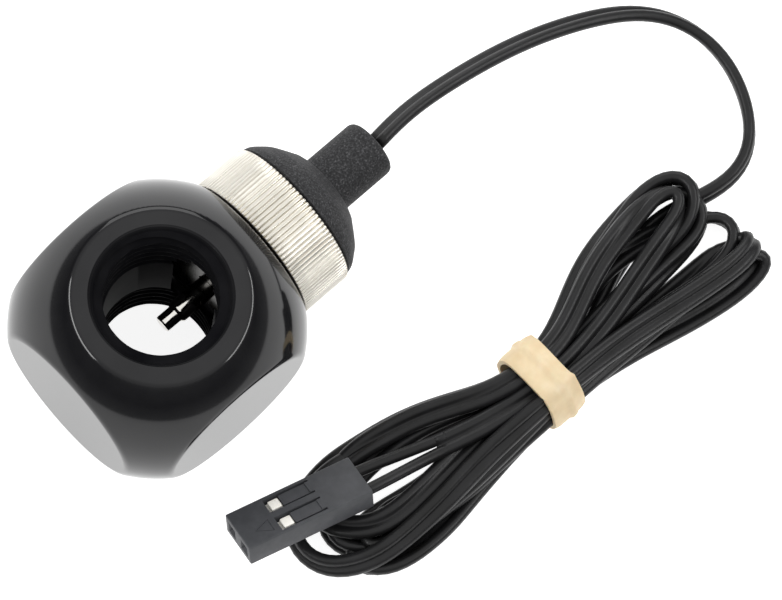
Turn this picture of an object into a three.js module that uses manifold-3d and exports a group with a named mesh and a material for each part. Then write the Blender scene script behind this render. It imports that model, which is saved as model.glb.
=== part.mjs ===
// Inline coolant temperature sensor: a port block with a screwed-in probe and a flat twin cable.
// Millimetres, +Z up, +X along the sensor's axis towards the cable, block standing on z = 0.
import * as THREE from 'three';
import { mergeVertices } from 'three/addons/utils/BufferGeometryUtils.js';
import Module from 'manifold-3d';

const wasm = await Module();
wasm.setup();

// ---- driving dimensions ----
const GAP = 0.3;              // kept between pieces that touch on the real object
const BLOCK = { side: 24, sphere: 14.9, axisX: -8.3 };
const PORT = { threadR: 6.15, passageR: 5.6, mouthR: 7.1, mouthDepth: 0.95, threadDepth: 8 };
const AXIS_Z = BLOCK.side / 2;
const COLLAR = { from: 12.3, to: 18.05, r: 8.3, teeth: 104, toothDepth: 0.2 };
const SPIGOT = { from: 6.7, to: 12.9, r: PORT.threadR - GAP };
const CUP = { from: 13.9, r: 6.8 };
const PROBE = { tip: 0.6, step: 2.3, back: 15.6, r: 1.17, tipR: 0.9, wall: 0.25 };
const BEAD = { x: 1.5, r: 0.4, leadR: 0.12, leadOffset: 0.3 };
const SOLDER = { x: 17.1, r: 0.25, long: 0.3 };
const BOOT = { from: COLLAR.to + GAP, to: 28.95, r: 3.15, holeR: 1.6, shoulderX: 22.1, domeR: 8.15 };
const RING = { x: 12.25, r: 6.5, sectionR: 0.33 };
const CABLE = { wide: 2.5, thick: 1.25, tubeR: 0.94, wireR: 0.55, sides: 8 };
const HANK = { floor: 0.1, top: 3.2, waistFloor: 1.1, waistTop: 6.6, waistFrom: 23.6, waistTo: 30.8 };
const BAND = { from: 25.2, to: 29.2, yLow: -32.8, yHigh: -24.5, wall: 0.7, cornerR: 1.2 };
const HOUSING = {
  long: 14, wide: 5.08, high: 2.54, spacing: 2.54, frontWall: 1.2,
  cavity: 1.9, pinHole: 0.9, window: 1.3, windowFrom: 3.8,
};
const LIE = { x: -0.67, y: -22.29, z: 6.4, turn: -14.5, noseUp: 5.7, lean: -24.7 };   // degrees
const CONTACT = { long: 9, boxLong: 5.6, boxHalf: 0.65, boreHalf: 0.35, boreDeep: 5, crimpHalf: 0.5 };

// ---- materials ----
const finish = (color, roughness, metalness) =>
  new THREE.MeshStandardMaterial({ color, roughness, metalness });
const BLACK_COAT = finish(0x17181a, 0.15, 0.3);
const NICKEL = finish(0xdcd8cc, 0.22, 1);
const STEEL = finish(0xc9c5bb, 0.12, 1);
const COPPER = finish(0xb87a50, 0.35, 1);
const SOLDER_METAL = finish(0xb9bcc0, 0.3, 1);
const EPOXY = finish(0x25262a, 0.35, 0);
const BEAD_GLASS = finish(0x2a2420, 0.4, 0);
const SEAL = finish(0x0d0d0e, 0.6, 0);
const BOOT_RUBBER = finish(0x2c2c2e, 0.9, 0);
const CABLE_SKIN = finish(0x101113, 0.42, 0);
const HOUSING_PLASTIC = finish(0x2b2d31, 0.5, 0);
const CONTACT_METAL = finish(0xd8cdb0, 0.25, 1);
const BAND_RUBBER = finish(0xefd8a8, 0.75, 0);

// ---- small tools ----
const root = new THREE.Group();

/** Adds one named piece; everything is placed in the block's own frame, then moved as one group. */
function piece(name, geometry, material) {
  const mesh = new THREE.Mesh(geometry, material);
  mesh.name = name;
  root.add(mesh);
  return mesh;
}

function toSolid(geometry) {
  const bare = geometry.clone();
  bare.deleteAttribute('normal');
  bare.deleteAttribute('uv');
  const welded = mergeVertices(bare, 1e-4);
  const vertProperties = Float32Array.from(welded.attributes.position.array);
  const triVerts = Uint32Array.from(welded.index.array);
  return new wasm.Manifold(new wasm.Mesh({ numProp: 3, vertProperties, triVerts }));
}

function toGeometry(solid) {
  const mesh = solid.getMesh();
  const geometry = new THREE.BufferGeometry();
  geometry.setAttribute('position', new THREE.BufferAttribute(Float32Array.from(mesh.vertProperties), 3));
  geometry.setIndex(Array.from(mesh.triVerts));
  geometry.computeVertexNormals();
  return geometry;
}

const cut = (solid, ...tools) => tools.reduce((rest, tool) => rest.subtract(tool), solid);
const vectors = (pairs) => pairs.map(([a, b]) => new THREE.Vector2(a, b));

/** Puts [radius, height] points in the order that makes a turned shape's faces point outwards. */
function profile(pairs) {
  const points = vectors(pairs);
  return THREE.ShapeUtils.area(points) < 0 ? points.reverse() : points;
}

/** Turned shape about the sensor's axis from [x, radius] points. */
function turnedAlongX(points, segments = 48) {
  const geometry = new THREE.LatheGeometry(profile(points.map(([x, r]) => [r, x])), segments);
  return geometry.rotateZ(-Math.PI / 2).translate(0, 0, AXIS_Z);
}

/** Turned shape about the ports' vertical axis from [radius, z] points. */
function turnedAlongZ(points, segments = 48) {
  return new THREE.LatheGeometry(profile(points), segments).rotateX(Math.PI / 2);
}

function ringPoints(x0, x1, outer, inner) {
  return [[x0, inner], [x1, inner], [x1, outer], [x0, outer], [x0, inner]];
}

/** Outline in the XY plane, raised from one height to another. */
function slab(outline, z0, z1) {
  return new THREE.ExtrudeGeometry(outline, { depth: z1 - z0, bevelEnabled: false, curveSegments: 10 })
    .translate(0, 0, z0);
}

function box(x0, x1, y0, y1, z0, z1) {
  return new THREE.BoxGeometry(x1 - x0, y1 - y0, z1 - z0)
    .translate((x0 + x1) / 2, (y0 + y1) / 2, (z0 + z1) / 2);
}

/** Plain closed tube along hand-placed route points. */
function tube(route, radius, steps) {
  const path = new THREE.CatmullRomCurve3(route.map((p) => new THREE.Vector3(...p)));
  const corners = [];
  for (let i = 0; i < CABLE.sides; i += 1) {
    const angle = (2 * Math.PI * i) / CABLE.sides;
    corners.push([radius * Math.cos(angle), radius * Math.sin(angle)]);
  }
  const section = new THREE.Shape(vectors(corners));
  return new THREE.ExtrudeGeometry(section, { steps, extrudePath: path, bevelEnabled: false });
}

// ---- port block ----
function boreTool() {
  const h = BLOCK.side;
  const t = PORT.threadDepth;
  const m = PORT.mouthDepth;
  return toSolid(turnedAlongZ([
    [0, -1], [PORT.mouthR, -1], [PORT.mouthR, 0], [PORT.threadR, m], [PORT.threadR, t],
    [PORT.passageR, t + 0.5], [PORT.passageR, h - t - 0.5], [PORT.threadR, h - t],
    [PORT.threadR, h - m], [PORT.mouthR, h], [PORT.mouthR, h + 1], [0, h + 1],
  ], 64));
}

function portBlock() {
  const half = BLOCK.side / 2;
  const cube = toSolid(box(-half, half, -half, half, 0, BLOCK.side));
  const ball = toSolid(new THREE.SphereGeometry(BLOCK.sphere, 64, 44).translate(0, 0, half));
  const sidePort = toSolid(turnedAlongX([
    [0, 0], [0, PORT.threadR], [half - PORT.mouthDepth, PORT.threadR],
    [half, PORT.mouthR], [half + 1, PORT.mouthR], [half + 1, 0],
  ], 64));
  return toGeometry(cut(cube.intersect(ball), boreTool(), sidePort));
}

// ---- sensor ----
function knurledOutline() {
  const corners = [];
  for (let i = 0; i < COLLAR.teeth * 2; i += 1) {
    const angle = (Math.PI * i) / COLLAR.teeth;
    const r = COLLAR.r - (i % 2) * COLLAR.toothDepth;
    corners.push([r * Math.cos(angle), r * Math.sin(angle)]);
  }
  return new THREE.Shape(vectors(corners));
}

function sensorBody() {
  const knurl = slab(knurledOutline(), COLLAR.from, COLLAR.to).rotateY(Math.PI / 2).translate(0, 0, AXIS_Z);
  const holeR = PROBE.r + GAP;
  const spigot = turnedAlongX(ringPoints(SPIGOT.from, SPIGOT.to, SPIGOT.r, holeR));
  const cup = turnedAlongX([
    [COLLAR.from - 1, 0], [COLLAR.from - 1, holeR], [CUP.from, holeR], [CUP.from, CUP.r],
    [COLLAR.to + 1, CUP.r], [COLLAR.to + 1, 0],
  ]);
  const grooveX = RING.x + RING.sectionR + GAP;
  const groove = turnedAlongX(ringPoints(
    COLLAR.from - 1, grooveX, RING.r + RING.sectionR + GAP, SPIGOT.r));
  return toGeometry(cut(toSolid(knurl), toSolid(cup), toSolid(groove)).add(toSolid(spigot)));
}

function sealingRing() {
  return new THREE.TorusGeometry(RING.r, RING.sectionR, 12, 48)
    .rotateY(Math.PI / 2).translate(RING.x, 0, AXIS_Z);
}

function probeTube() {
  const boreR = PROBE.r - PROBE.wall;
  const tipBoreR = PROBE.tipR - PROBE.wall;
  return turnedAlongX([
    [PROBE.tip, 0], [PROBE.tip, PROBE.tipR - 0.1], [PROBE.tip + 0.1, PROBE.tipR],
    [PROBE.step, PROBE.tipR], [PROBE.step + 0.3, PROBE.r], [PROBE.back, PROBE.r],
    [PROBE.back, boreR], [PROBE.step + 0.5, boreR], [PROBE.step + 0.2, tipBoreR],
    [PROBE.tip + PROBE.wall, tipBoreR], [PROBE.tip + PROBE.wall, 0],
  ], 32);
}

function thermistorBead() {
  return new THREE.SphereGeometry(BEAD.r, 16, 12).translate(BEAD.x, 0, AXIS_Z);
}

/** Bare lead from the bead down the probe to just short of its solder joint. */
function thermistorLead(side) {
  const inProbe = side * BEAD.leadOffset;
  const atJoint = (side * CABLE.thick) / 2;
  return tube([
    [BEAD.x + BEAD.r + GAP / 2, inProbe, AXIS_Z], [PROBE.back / 2, inProbe, AXIS_Z],
    [PROBE.back - GAP, inProbe, AXIS_Z], [SOLDER.x - 3 * GAP, atJoint, AXIS_Z],
    [SOLDER.x - 0.55, atJoint, AXIS_Z],
  ], BEAD.leadR, 24);
}

function solderJoint(side) {
  return new THREE.CapsuleGeometry(SOLDER.r, SOLDER.long, 4, 12).rotateZ(Math.PI / 2)
    .translate(SOLDER.x, (side * CABLE.thick) / 2, AXIS_Z);
}

function pottingFill() {
  return turnedAlongX(ringPoints(CUP.from + GAP, COLLAR.to, CUP.r - GAP, PROBE.r + GAP), 40);
}

function cableBoot() {
  const base = COLLAR.to;
  return turnedAlongX([
    [BOOT.from, BOOT.holeR], [BOOT.to, BOOT.holeR], [BOOT.to, BOOT.r - 0.6], [BOOT.to - 0.2, BOOT.r - 0.2],
    [BOOT.to - 0.6, BOOT.r], [BOOT.shoulderX, BOOT.r], [BOOT.shoulderX, 4.6], [base + 3.4, 5.4],
    [base + 2.4, 6.65], [base + 1.6, 7.35], [base + 0.94, 7.8], [BOOT.from, BOOT.domeR],
    [BOOT.from, BOOT.holeR],
  ], 56);
}

/** Short length of the flat cable that stays inside the boot. */
function cableEntry() {
  const half = (CABLE.wide - CABLE.thick) / 2;
  const section = new THREE.Shape();
  section.absarc(0, half, CABLE.thick / 2, 0, Math.PI, false);
  section.absarc(0, -half, CABLE.thick / 2, Math.PI, 2 * Math.PI, false);
  return slab(section, SOLDER.x + 0.8, BOOT.to).rotateY(Math.PI / 2).translate(0, 0, AXIS_Z);
}

// ---- free cable ----
const LEAD_ROUTE = [
  [29.25, 0, 12], [32, 0.4, 11.7], [35.1, 0.6, 11], [42.4, 0.1, 9], [49.1, -0.9, 7], [55.3, -2.6, 5],
  [60.8, -5.1, 3.5], [64, -8, 2.5], [65.5, -11.8, 2], [65.6, -15.5, 1.6], [64.5, -18.9, 1.6],
  [62.1, -21.6, 1.7], [59.2, -23.6, 1.8], [57, -24.8, 1.8],
];
const TAIL_ROUTE = [[14.4, -26.3, 4.8], [17, -27.1, 4.8], [19.6, -27.8, 4.9], [22.2, -28.4, 5]];
const WIRE_JOIN = [14, -26.2, 4.8];

/** Loose coil of the cable, wide in both lobes and drawn together where the band holds it. */
function cableHank() {
  const left = HANK.waistFrom;
  const right = HANK.waistTo;
  const low = BAND.yLow + BAND.wall + GAP;
  const high = BAND.yHigh - BAND.wall - GAP;
  const outline = new THREE.Shape();
  outline.moveTo(left, high);
  outline.bezierCurveTo(18, -23.5, 11, -19.5, 5, -19.1);
  outline.bezierCurveTo(0, -19.2, -3.8, -22, -3.8, -26);
  outline.bezierCurveTo(-3.8, -31, 0, -33.8, 7, -33.8);
  outline.bezierCurveTo(13, -33.6, 19, -32.4, left, low);
  outline.lineTo(right, low);
  outline.bezierCurveTo(36, -33, 42, -35, 48, -34.8);
  outline.bezierCurveTo(53, -34.4, 56, -33.4, 56, -28);
  outline.bezierCurveTo(56, -22, 54.5, -19.4, 48, -19.3);
  outline.bezierCurveTo(42, -19.4, 36, -23.2, right, high);
  outline.closePath();
  const lobes = toSolid(slab(outline, HANK.floor, HANK.top));
  const beside = 0.7;
  const clearUnderBand = toSolid(box(
    BAND.from - beside, BAND.to + beside, BAND.yLow - 5, BAND.yHigh + 10, -1, HANK.waistFloor));
  const waist = toSolid(box(left, right, low, high, HANK.waistFloor, HANK.waistTop));
  return toGeometry(lobes.subtract(clearUnderBand).add(waist));
}

function elasticBand() {
  const low = HANK.waistFloor - GAP - BAND.wall;
  const high = HANK.waistTop + GAP + BAND.wall;
  const w = BAND.wall;
  const outer = roundedRect(BAND.yLow, BAND.yHigh, low, high, BAND.cornerR);
  const hole = roundedRect(BAND.yLow + w, BAND.yHigh - w, low + w, high - w, BAND.cornerR - 1);
  outer.holes.push(hole);
  return slab(outer, 0, BAND.to - BAND.from)
    .rotateX(Math.PI / 2).rotateZ(Math.PI / 2).translate(BAND.from, 0, 0);
}

function roundedRect(x0, x1, y0, y1, r) {
  const shape = new THREE.Shape();
  shape.absarc(x1 - r, y0 + r, r, -Math.PI / 2, 0, false);
  shape.absarc(x1 - r, y1 - r, r, 0, Math.PI / 2, false);
  shape.absarc(x0 + r, y1 - r, r, Math.PI / 2, Math.PI, false);
  shape.absarc(x0 + r, y0 + r, r, Math.PI, 1.5 * Math.PI, false);
  return shape;
}

// ---- connector, drawn along +X from its mating face and then laid on the coil ----
const radians = THREE.MathUtils.degToRad;
const LAID = new THREE.Matrix4()
  .makeRotationFromEuler(
    new THREE.Euler(radians(LIE.lean), radians(LIE.noseUp), radians(LIE.turn), 'ZYX'))
  .setPosition(LIE.x, LIE.y, LIE.z)
  .multiply(new THREE.Matrix4().makeTranslation(-HOUSING.long / 2, 0, 0));

function connectorHousing() {
  const H = HOUSING;
  let shell = toSolid(box(0, H.long, -H.wide / 2, H.wide / 2, -H.high / 2, H.high / 2));
  for (const y of [-H.spacing / 2, H.spacing / 2]) {
    const c = H.cavity / 2;
    const p = H.pinHole / 2;
    const w = H.window / 2;
    const cavity = toSolid(box(H.frontWall, H.long + 1, y - c, y + c, -c, c));
    const pinHole = toSolid(box(-1, H.frontWall + 1, y - p, y + p, -p, p));
    const window = toSolid(box(H.windowFrom, H.windowFrom + H.window, y - w, y + w, 0, H.high));
    shell = cut(shell, cavity, pinHole, window);
  }
  return toGeometry(shell).applyMatrix4(LAID);
}

/** Folded box contact with its narrower crimp barrel behind. */
function crimpContact(side) {
  const C = CONTACT;
  const y = (side * HOUSING.spacing) / 2;
  const front = HOUSING.frontWall + GAP;
  const bore = toSolid(box(
    front - 1, front + C.boreDeep, y - C.boreHalf, y + C.boreHalf, -C.boreHalf, C.boreHalf));
  const sleeve = toSolid(box(
    front, front + C.boxLong, y - C.boxHalf, y + C.boxHalf, -C.boxHalf, C.boxHalf));
  const barrel = toSolid(box(
    front + C.boxLong - 0.2, front + C.long, y - C.crimpHalf, y + C.crimpHalf, -C.crimpHalf, 0.4));
  return toGeometry(cut(sleeve, bore).add(barrel)).applyMatrix4(LAID);
}

function connectorWire(side) {
  const along = (u, v) => new THREE.Vector3(u, v, 0).applyMatrix4(LAID).toArray();
  const offset = (side * HOUSING.spacing) / 2;
  const inside = HOUSING.frontWall + CONTACT.long + 2 * GAP;
  return tube([
    along(inside, offset), along(HOUSING.long, offset), along(HOUSING.long + 1.6, offset * 0.9),
    [WIRE_JOIN[0], WIRE_JOIN[1] + (side * (CABLE.thick + GAP)) / 2, WIRE_JOIN[2]],
  ], CABLE.wireR, 14);
}

// ---- assembly ----
piece('port_block', portBlock(), BLACK_COAT);
piece('sensor_body', sensorBody(), NICKEL);
piece('sealing_ring', sealingRing(), SEAL);
piece('probe_tube', probeTube(), STEEL);
piece('thermistor_bead', thermistorBead(), BEAD_GLASS);
for (const [letter, side] of [['a', 1], ['b', -1]]) {
  piece(`thermistor_lead_${letter}`, thermistorLead(side), COPPER);
  piece(`solder_joint_${letter}`, solderJoint(side), SOLDER_METAL);
  piece(`crimp_contact_${letter}`, crimpContact(side), CONTACT_METAL);
  piece(`wire_${letter}`, connectorWire(side), CABLE_SKIN);
}
piece('potting_fill', pottingFill(), EPOXY);
piece('cable_boot', cableBoot(), BOOT_RUBBER);
piece('cable_entry', cableEntry(), CABLE_SKIN);
piece('cable_lead', tube(LEAD_ROUTE, CABLE.tubeR, 30), CABLE_SKIN);
piece('cable_tail', tube(TAIL_ROUTE, CABLE.tubeR, 6), CABLE_SKIN);
piece('cable_hank', cableHank(), CABLE_SKIN);
piece('elastic_band', elasticBand(), BAND_RUBBER);
piece('connector_housing', connectorHousing(), HOUSING_PLASTIC);

root.position.x = BLOCK.axisX;

export default root;
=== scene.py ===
"""Inline coolant temperature sensor: threaded port block, knurled sensor with its boot, coiled flat cable.

Lengths below are in millimetres in the row frame (+X along the sensor, +Z up); MM turns them into metres.
"""
import math
import bmesh
import bpy
import numpy as np
from mathutils import Matrix, Vector


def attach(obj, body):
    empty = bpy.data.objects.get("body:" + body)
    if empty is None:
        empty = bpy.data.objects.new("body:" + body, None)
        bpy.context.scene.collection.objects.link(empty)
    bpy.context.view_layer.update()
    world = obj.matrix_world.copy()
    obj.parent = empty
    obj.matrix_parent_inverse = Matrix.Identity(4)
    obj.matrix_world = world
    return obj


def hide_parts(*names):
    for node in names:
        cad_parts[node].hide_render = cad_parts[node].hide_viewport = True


MM = 0.001
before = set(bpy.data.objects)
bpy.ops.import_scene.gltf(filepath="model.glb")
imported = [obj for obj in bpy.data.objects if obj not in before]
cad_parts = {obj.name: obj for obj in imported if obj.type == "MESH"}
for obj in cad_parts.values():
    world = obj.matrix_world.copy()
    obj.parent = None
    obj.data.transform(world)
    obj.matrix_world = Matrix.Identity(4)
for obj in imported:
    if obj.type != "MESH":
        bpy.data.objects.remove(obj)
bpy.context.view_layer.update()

# ---- driving dimensions; places along X are measured from the bore's axis ----
AXIS_X = -8.3                 # vertical axis of the block's bore
AXIS_Z = 12.0                 # height of the sensor's axis
SIDE = 24.0                   # the block, across its flats
FLAT = SIDE / 2
EDGE_ROUND = 0.3              # half width of the rounding where a flat meets the ball
SPHERE_R = 14.9
PITCH = 1.337                 # G1/4 parallel thread
THREAD_MINOR, THREAD_MAJOR = 5.74, 6.58
THREAD_DEPTH = 7.6
SIDE_PORT_DEPTH = 7.4
PASSAGE_R = 5.55
MOUTH_R, MOUTH_DEPTH = 7.1, 0.75
SPIGOT = (6.7, 11.6)          # from, to
SPIGOT_SLACK = 0.12           # the spigot's root is this much smaller than the port's thread
LEAD_HOLE_R = 1.3
COLLAR = (12.3, 18.05, 8.3)   # from, to, radius
GROOVE = (12.88, 7.13)        # bottom of the seal's groove, and its outer radius
SEAL = (12.25, 6.5, 0.33)     # the seal's place, radius and section radius
CUP = (13.9, 6.8)             # floor of the cup at the collar's back, and its radius
TEETH = 104
KNURL_END = 0.3               # the knurl runs out over this length at each end
SLEEVE_R = 3.12
BOOT_END = 28.95
CORE_R = 0.625                # one conductor of the flat twin cable
WIRE_R = 0.61                 # a conductor by itself, past the split
BAND = (25.2, 29.2)
BAND_THICK = 0.62
CLEAR = 0.12                  # designed gap under the cable and inside the band

# ---- camera ----
CAMERA_AT = (-125.2, -102.8, 564.4)
AZIMUTH, ELEVATION, ROLL = -56.67, 73.54, 14.83
LENS = 266.3


def make_camera():
    data = bpy.data.cameras.new("camera")
    camera = bpy.data.objects.new("camera", data)
    bpy.context.scene.collection.objects.link(camera)
    bpy.context.scene.camera = camera
    a, e, r = (math.radians(v) for v in (AZIMUTH, ELEVATION, ROLL))
    back = Vector((math.sin(a) * math.cos(e), -math.cos(a) * math.cos(e), math.sin(e)))
    right = Vector((0, 0, 1)).cross(back).normalized()
    up = back.cross(right)
    x_axis = math.cos(r) * right + math.sin(r) * up
    y_axis = back.cross(x_axis)
    turn = Matrix((x_axis, y_axis, back)).transposed().to_4x4()
    camera.matrix_world = Matrix.Translation(Vector(CAMERA_AT) * MM) @ turn
    data.lens = LENS
    data.sensor_width = 36
    data.clip_start, data.clip_end = 0.01, 20


# ---- small tools ----
def add_object(name, mesh):
    obj = bpy.data.objects.new(name, mesh)
    bpy.context.scene.collection.objects.link(obj)
    return obj


def mesh_object(name, points, faces, smooth=True):
    """New object from points in millimetres."""
    mesh = bpy.data.meshes.new(name)
    mesh.from_pydata([tuple(p) for p in np.asarray(points, float) * MM], [], faces)
    mesh.validate()
    if smooth:
        mesh.shade_smooth()
    return add_object(name, mesh)


def grid_faces(rows, columns, closed=True):
    """Quads over rows of points, each row closed on itself."""
    last = columns if closed else columns - 1
    faces = []
    for i in range(rows - 1):
        for j in range(last):
            k = (j + 1) % columns
            faces.append((i * columns + j, i * columns + k, (i + 1) * columns + k, (i + 1) * columns + j))
    return faces


def tube_mesh(rings):
    """Points and faces of a closed tube over equal rings; both ends are closed by flat caps."""
    rings = np.asarray(rings, float)
    rows, columns = rings.shape[:2]
    faces = [tuple(reversed(f)) for f in grid_faces(rows, columns)]
    faces.append(tuple(range(columns)))
    faces.append(tuple(reversed(range((rows - 1) * columns, rows * columns))))
    return rings.reshape(-1, 3), faces


def around_x(stations, radius_of, columns):
    """Rings about the sensor's axis; radius_of(x, angles) gives each ring's radii."""
    angles = np.linspace(0, 2 * math.pi, columns, endpoint=False)
    rings = []
    for x in stations:
        r = radius_of(x, angles) * np.ones(columns)
        ring = np.stack([np.full(columns, AXIS_X + x), r * np.cos(angles), AXIS_Z + r * np.sin(angles)], -1)
        rings.append(ring[::-1])
    return rings


def around_z(heights, radius_of, columns):
    angles = np.linspace(0, 2 * math.pi, columns, endpoint=False)
    rings = []
    for z in heights:
        r = radius_of(z, angles) * np.ones(columns)
        ring = np.stack([AXIS_X + r * np.cos(angles), r * np.sin(angles), np.full(columns, z)], -1)
        rings.append(ring[::-1])
    return rings


def closed_turning(profile, columns):
    """A body turned about the sensor's axis from a loop of (x, radius); a radius may be a function."""
    angles = np.linspace(0, 2 * math.pi, columns, endpoint=False)
    points = []
    for x, radius in profile:
        r = radius(x, angles) if callable(radius) else radius
        points.append(np.stack([
            np.full(columns, AXIS_X + x), r * np.cos(angles), AXIS_Z + r * np.sin(angles)], -1))
    return np.concatenate(points), looped_faces(len(profile), columns)


def looped_faces(rows, columns):
    """Quads over rows of points, with the last row joined to the first as well."""
    last = (rows - 1) * columns
    joint = [(last + j, last + (j + 1) % columns, (j + 1) % columns, j) for j in range(columns)]
    return grid_faces(rows, columns) + joint


def solid(name, points, faces, smooth=True):
    """New closed object with all its faces turned outward."""
    obj = mesh_object(name, points, faces, smooth)
    work = bmesh.new()
    work.from_mesh(obj.data)
    bmesh.ops.recalc_face_normals(work, faces=work.faces)
    work.to_mesh(obj.data)
    work.free()
    return obj


def apply_modifiers(obj):
    bpy.context.view_layer.update()
    graph = bpy.context.evaluated_depsgraph_get()
    made = bpy.data.meshes.new_from_object(obj.evaluated_get(graph))
    obj.modifiers.clear()
    obj.data = made


def boolean(obj, tool, operation="DIFFERENCE"):
    modifier = obj.modifiers.new("cut", "BOOLEAN")
    modifier.operation = operation
    modifier.solver = "EXACT"
    modifier.object = tool
    apply_modifiers(obj)
    bpy.data.objects.remove(tool)


def bevel(obj, width, segments=2, angle=40):
    modifier = obj.modifiers.new("bevel", "BEVEL")
    modifier.width = width * MM
    modifier.segments = segments
    modifier.limit_method = "ANGLE"
    modifier.angle_limit = math.radians(angle)
    modifier.harden_normals = False
    apply_modifiers(obj)


def smooth_by_angle(obj, degrees=35):
    """Smooth shading that keeps edges sharper than this angle."""
    obj.data.shade_smooth()
    work = bmesh.new()
    work.from_mesh(obj.data)
    for edge in work.edges:
        edge.smooth = len(edge.link_faces) == 2 and edge.calc_face_angle(0) < math.radians(degrees)
    work.to_mesh(obj.data)
    work.free()


def box_object(name, x0, x1, y0, y1, z0, z1):
    points = [(x, y, z) for x in (x0, x1) for y in (y0, y1) for z in (z0, z1)]
    faces = [(0, 1, 3, 2), (4, 6, 7, 5), (0, 4, 5, 1), (2, 3, 7, 6), (0, 2, 6, 4), (1, 5, 7, 3)]
    return solid(name, points, faces, smooth=False)


def join(target, *others):
    work = bmesh.new()
    work.from_mesh(target.data)
    for other in others:
        work.from_mesh(other.data)
    work.to_mesh(target.data)
    work.free()
    for other in others:
        bpy.data.objects.remove(other)
    return target


def finish_piece(obj, material, body, slot, *nodes):
    obj.data.materials.clear()
    obj.data.materials.append(material)
    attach(obj, body)
    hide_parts(*nodes)
    return obj


# ---- materials ----
class Surface:
    """A node material whose colour, roughness and bump vary over the piece."""

    def __init__(self, name, color, roughness, metallic=0.0, specular=0.5):
        self.material = bpy.data.materials.new(name)
        self.material.use_nodes = True
        self.tree = self.material.node_tree
        self.shader = self.tree.nodes["Principled BSDF"]
        self.coords = self.tree.nodes.new("ShaderNodeTexCoord")
        self.shader.inputs["Base Color"].default_value = (*color, 1)
        self.shader.inputs["Roughness"].default_value = roughness
        self.shader.inputs["Metallic"].default_value = metallic
        self.shader.inputs["Specular IOR Level"].default_value = specular
        self.normal = None

    def node(self, kind, **values):
        node = self.tree.nodes.new(kind)
        for key, value in values.items():
            if key in node.inputs:
                node.inputs[key].default_value = value
            else:
                setattr(node, key, value)
        return node

    def link(self, a, b):
        self.tree.links.new(a, b)

    def stretched(self, scale=(1, 1, 1)):
        mapping = self.node("ShaderNodeMapping", Scale=scale)
        self.link(self.coords.outputs["Object"], mapping.inputs["Vector"])
        return mapping.outputs["Vector"]

    def noise(self, scale, detail=3.0, stretch=(1, 1, 1)):
        """Noise with this many features to the metre."""
        texture = self.node("ShaderNodeTexNoise", Scale=scale, Detail=detail)
        self.link(self.stretched(stretch), texture.inputs["Vector"])
        return texture.outputs["Fac"]

    def ramp(self, factor, stops):
        ramp = self.node("ShaderNodeValToRGB")
        elements = ramp.color_ramp.elements
        while len(elements) < len(stops):
            elements.new(0.5)
        for element, (place, color) in zip(elements, stops):
            element.position = place
            element.color = (*color, 1)
        self.link(factor, ramp.inputs["Fac"])
        return ramp.outputs["Color"]

    def color(self, factor, stops):
        self.link(self.ramp(factor, stops), self.shader.inputs["Base Color"])
        return self

    def roughness(self, factor, low, high):
        self.link(self.ranged(factor, 0.0, 1.0, low, high), self.shader.inputs["Roughness"])
        return self

    def ranged(self, value, from_low, from_high, to_low, to_high):
        """The value's place between two limits, carried over to two others."""
        node = self.node("ShaderNodeMapRange")
        node.inputs["From Min"].default_value = from_low
        node.inputs["From Max"].default_value = from_high
        node.inputs["To Min"].default_value = to_low
        node.inputs["To Max"].default_value = to_high
        self.link(value, node.inputs["Value"])
        return node.outputs["Result"]

    def dull_inside_bore(self):
        """The cut threads and the passage are less shiny than the coated outside."""
        mapping = self.node("ShaderNodeMapping", Location=(-AXIS_X * MM, 0, 0), Scale=(1, 1, 0))
        self.link(self.coords.outputs["Object"], mapping.inputs["Vector"])
        length = self.node("ShaderNodeVectorMath", operation="LENGTH")
        self.link(mapping.outputs["Vector"], length.inputs[0])
        for name, inside, outside in (("Specular IOR Level", 0.015, 0.40), ("Roughness", 0.6, 0.09)):
            level = self.ranged(length.outputs["Value"], (MOUTH_R - 0.4) * MM, MOUTH_R * MM, inside, outside)
            self.link(level, self.shader.inputs[name])

    def paint_shade_below_x(self, x):
        """Painted shade: the colour is darkened behind this place, so the threaded spigot inside the block's
        port looks shaded; the plated collar in front of it keeps its own colour.
        """
        split = self.node("ShaderNodeSeparateXYZ")
        self.link(self.coords.outputs["Object"], split.inputs[0])
        edge = AXIS_X + x
        # painted shade: behind the edge the plated colour falls to 0.06 of itself
        scale = self.ranged(split.outputs["X"], (edge - 0.1) * MM, (edge + 0.1) * MM, 0.06, 1.0)
        mix = self.node("ShaderNodeVectorMath", operation="SCALE")
        plain = self.shader.inputs["Base Color"].links[0].from_socket
        self.link(plain, mix.inputs[0])
        self.link(scale, mix.inputs["Scale"])
        self.link(mix.outputs["Vector"], self.shader.inputs["Base Color"])

    def bump(self, factor, depth_mm, strength=1.0):
        bump = self.node("ShaderNodeBump", Strength=strength, Distance=depth_mm * MM)
        self.link(factor, bump.inputs["Height"])
        if self.normal is not None:
            self.link(self.normal, bump.inputs["Normal"])
        self.normal = bump.outputs["Normal"]
        self.link(self.normal, self.shader.inputs["Normal"])
        return self


def gloss_black():
    s = Surface("gloss_black_coat", (0.006, 0.006, 0.007), 0.09, specular=0.5)
    s.color(s.noise(220), [(0.3, (0.004, 0.004, 0.005)), (0.7, (0.009, 0.009, 0.010))])
    s.bump(s.noise(500, 2), 0.004, 0.35)
    s.dull_inside_bore()
    return s.material


def nickel():
    s = Surface("nickel_plate", (0.90, 0.88, 0.82), 0.2, 1.0)
    s.color(s.noise(900, 4, (0.02, 1, 1)), [(0.3, (0.66, 0.63, 0.56)), (0.7, (0.82, 0.79, 0.72))])
    s.roughness(s.noise(2500, 3, (0.02, 1, 1)), 0.24, 0.34)
    # painted shade on the threaded spigot where it sits inside the block's port
    s.paint_shade_below_x(12.1)
    return s.material


def polished_steel():
    s = Surface("polished_steel", (0.78, 0.76, 0.72), 0.08, 1.0)
    s.color(s.noise(1200), [(0.3, (0.70, 0.68, 0.64)), (0.7, (0.84, 0.82, 0.78))])
    s.roughness(s.noise(4000, 3, (4, 1, 1)), 0.04, 0.14)
    return s.material


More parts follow.
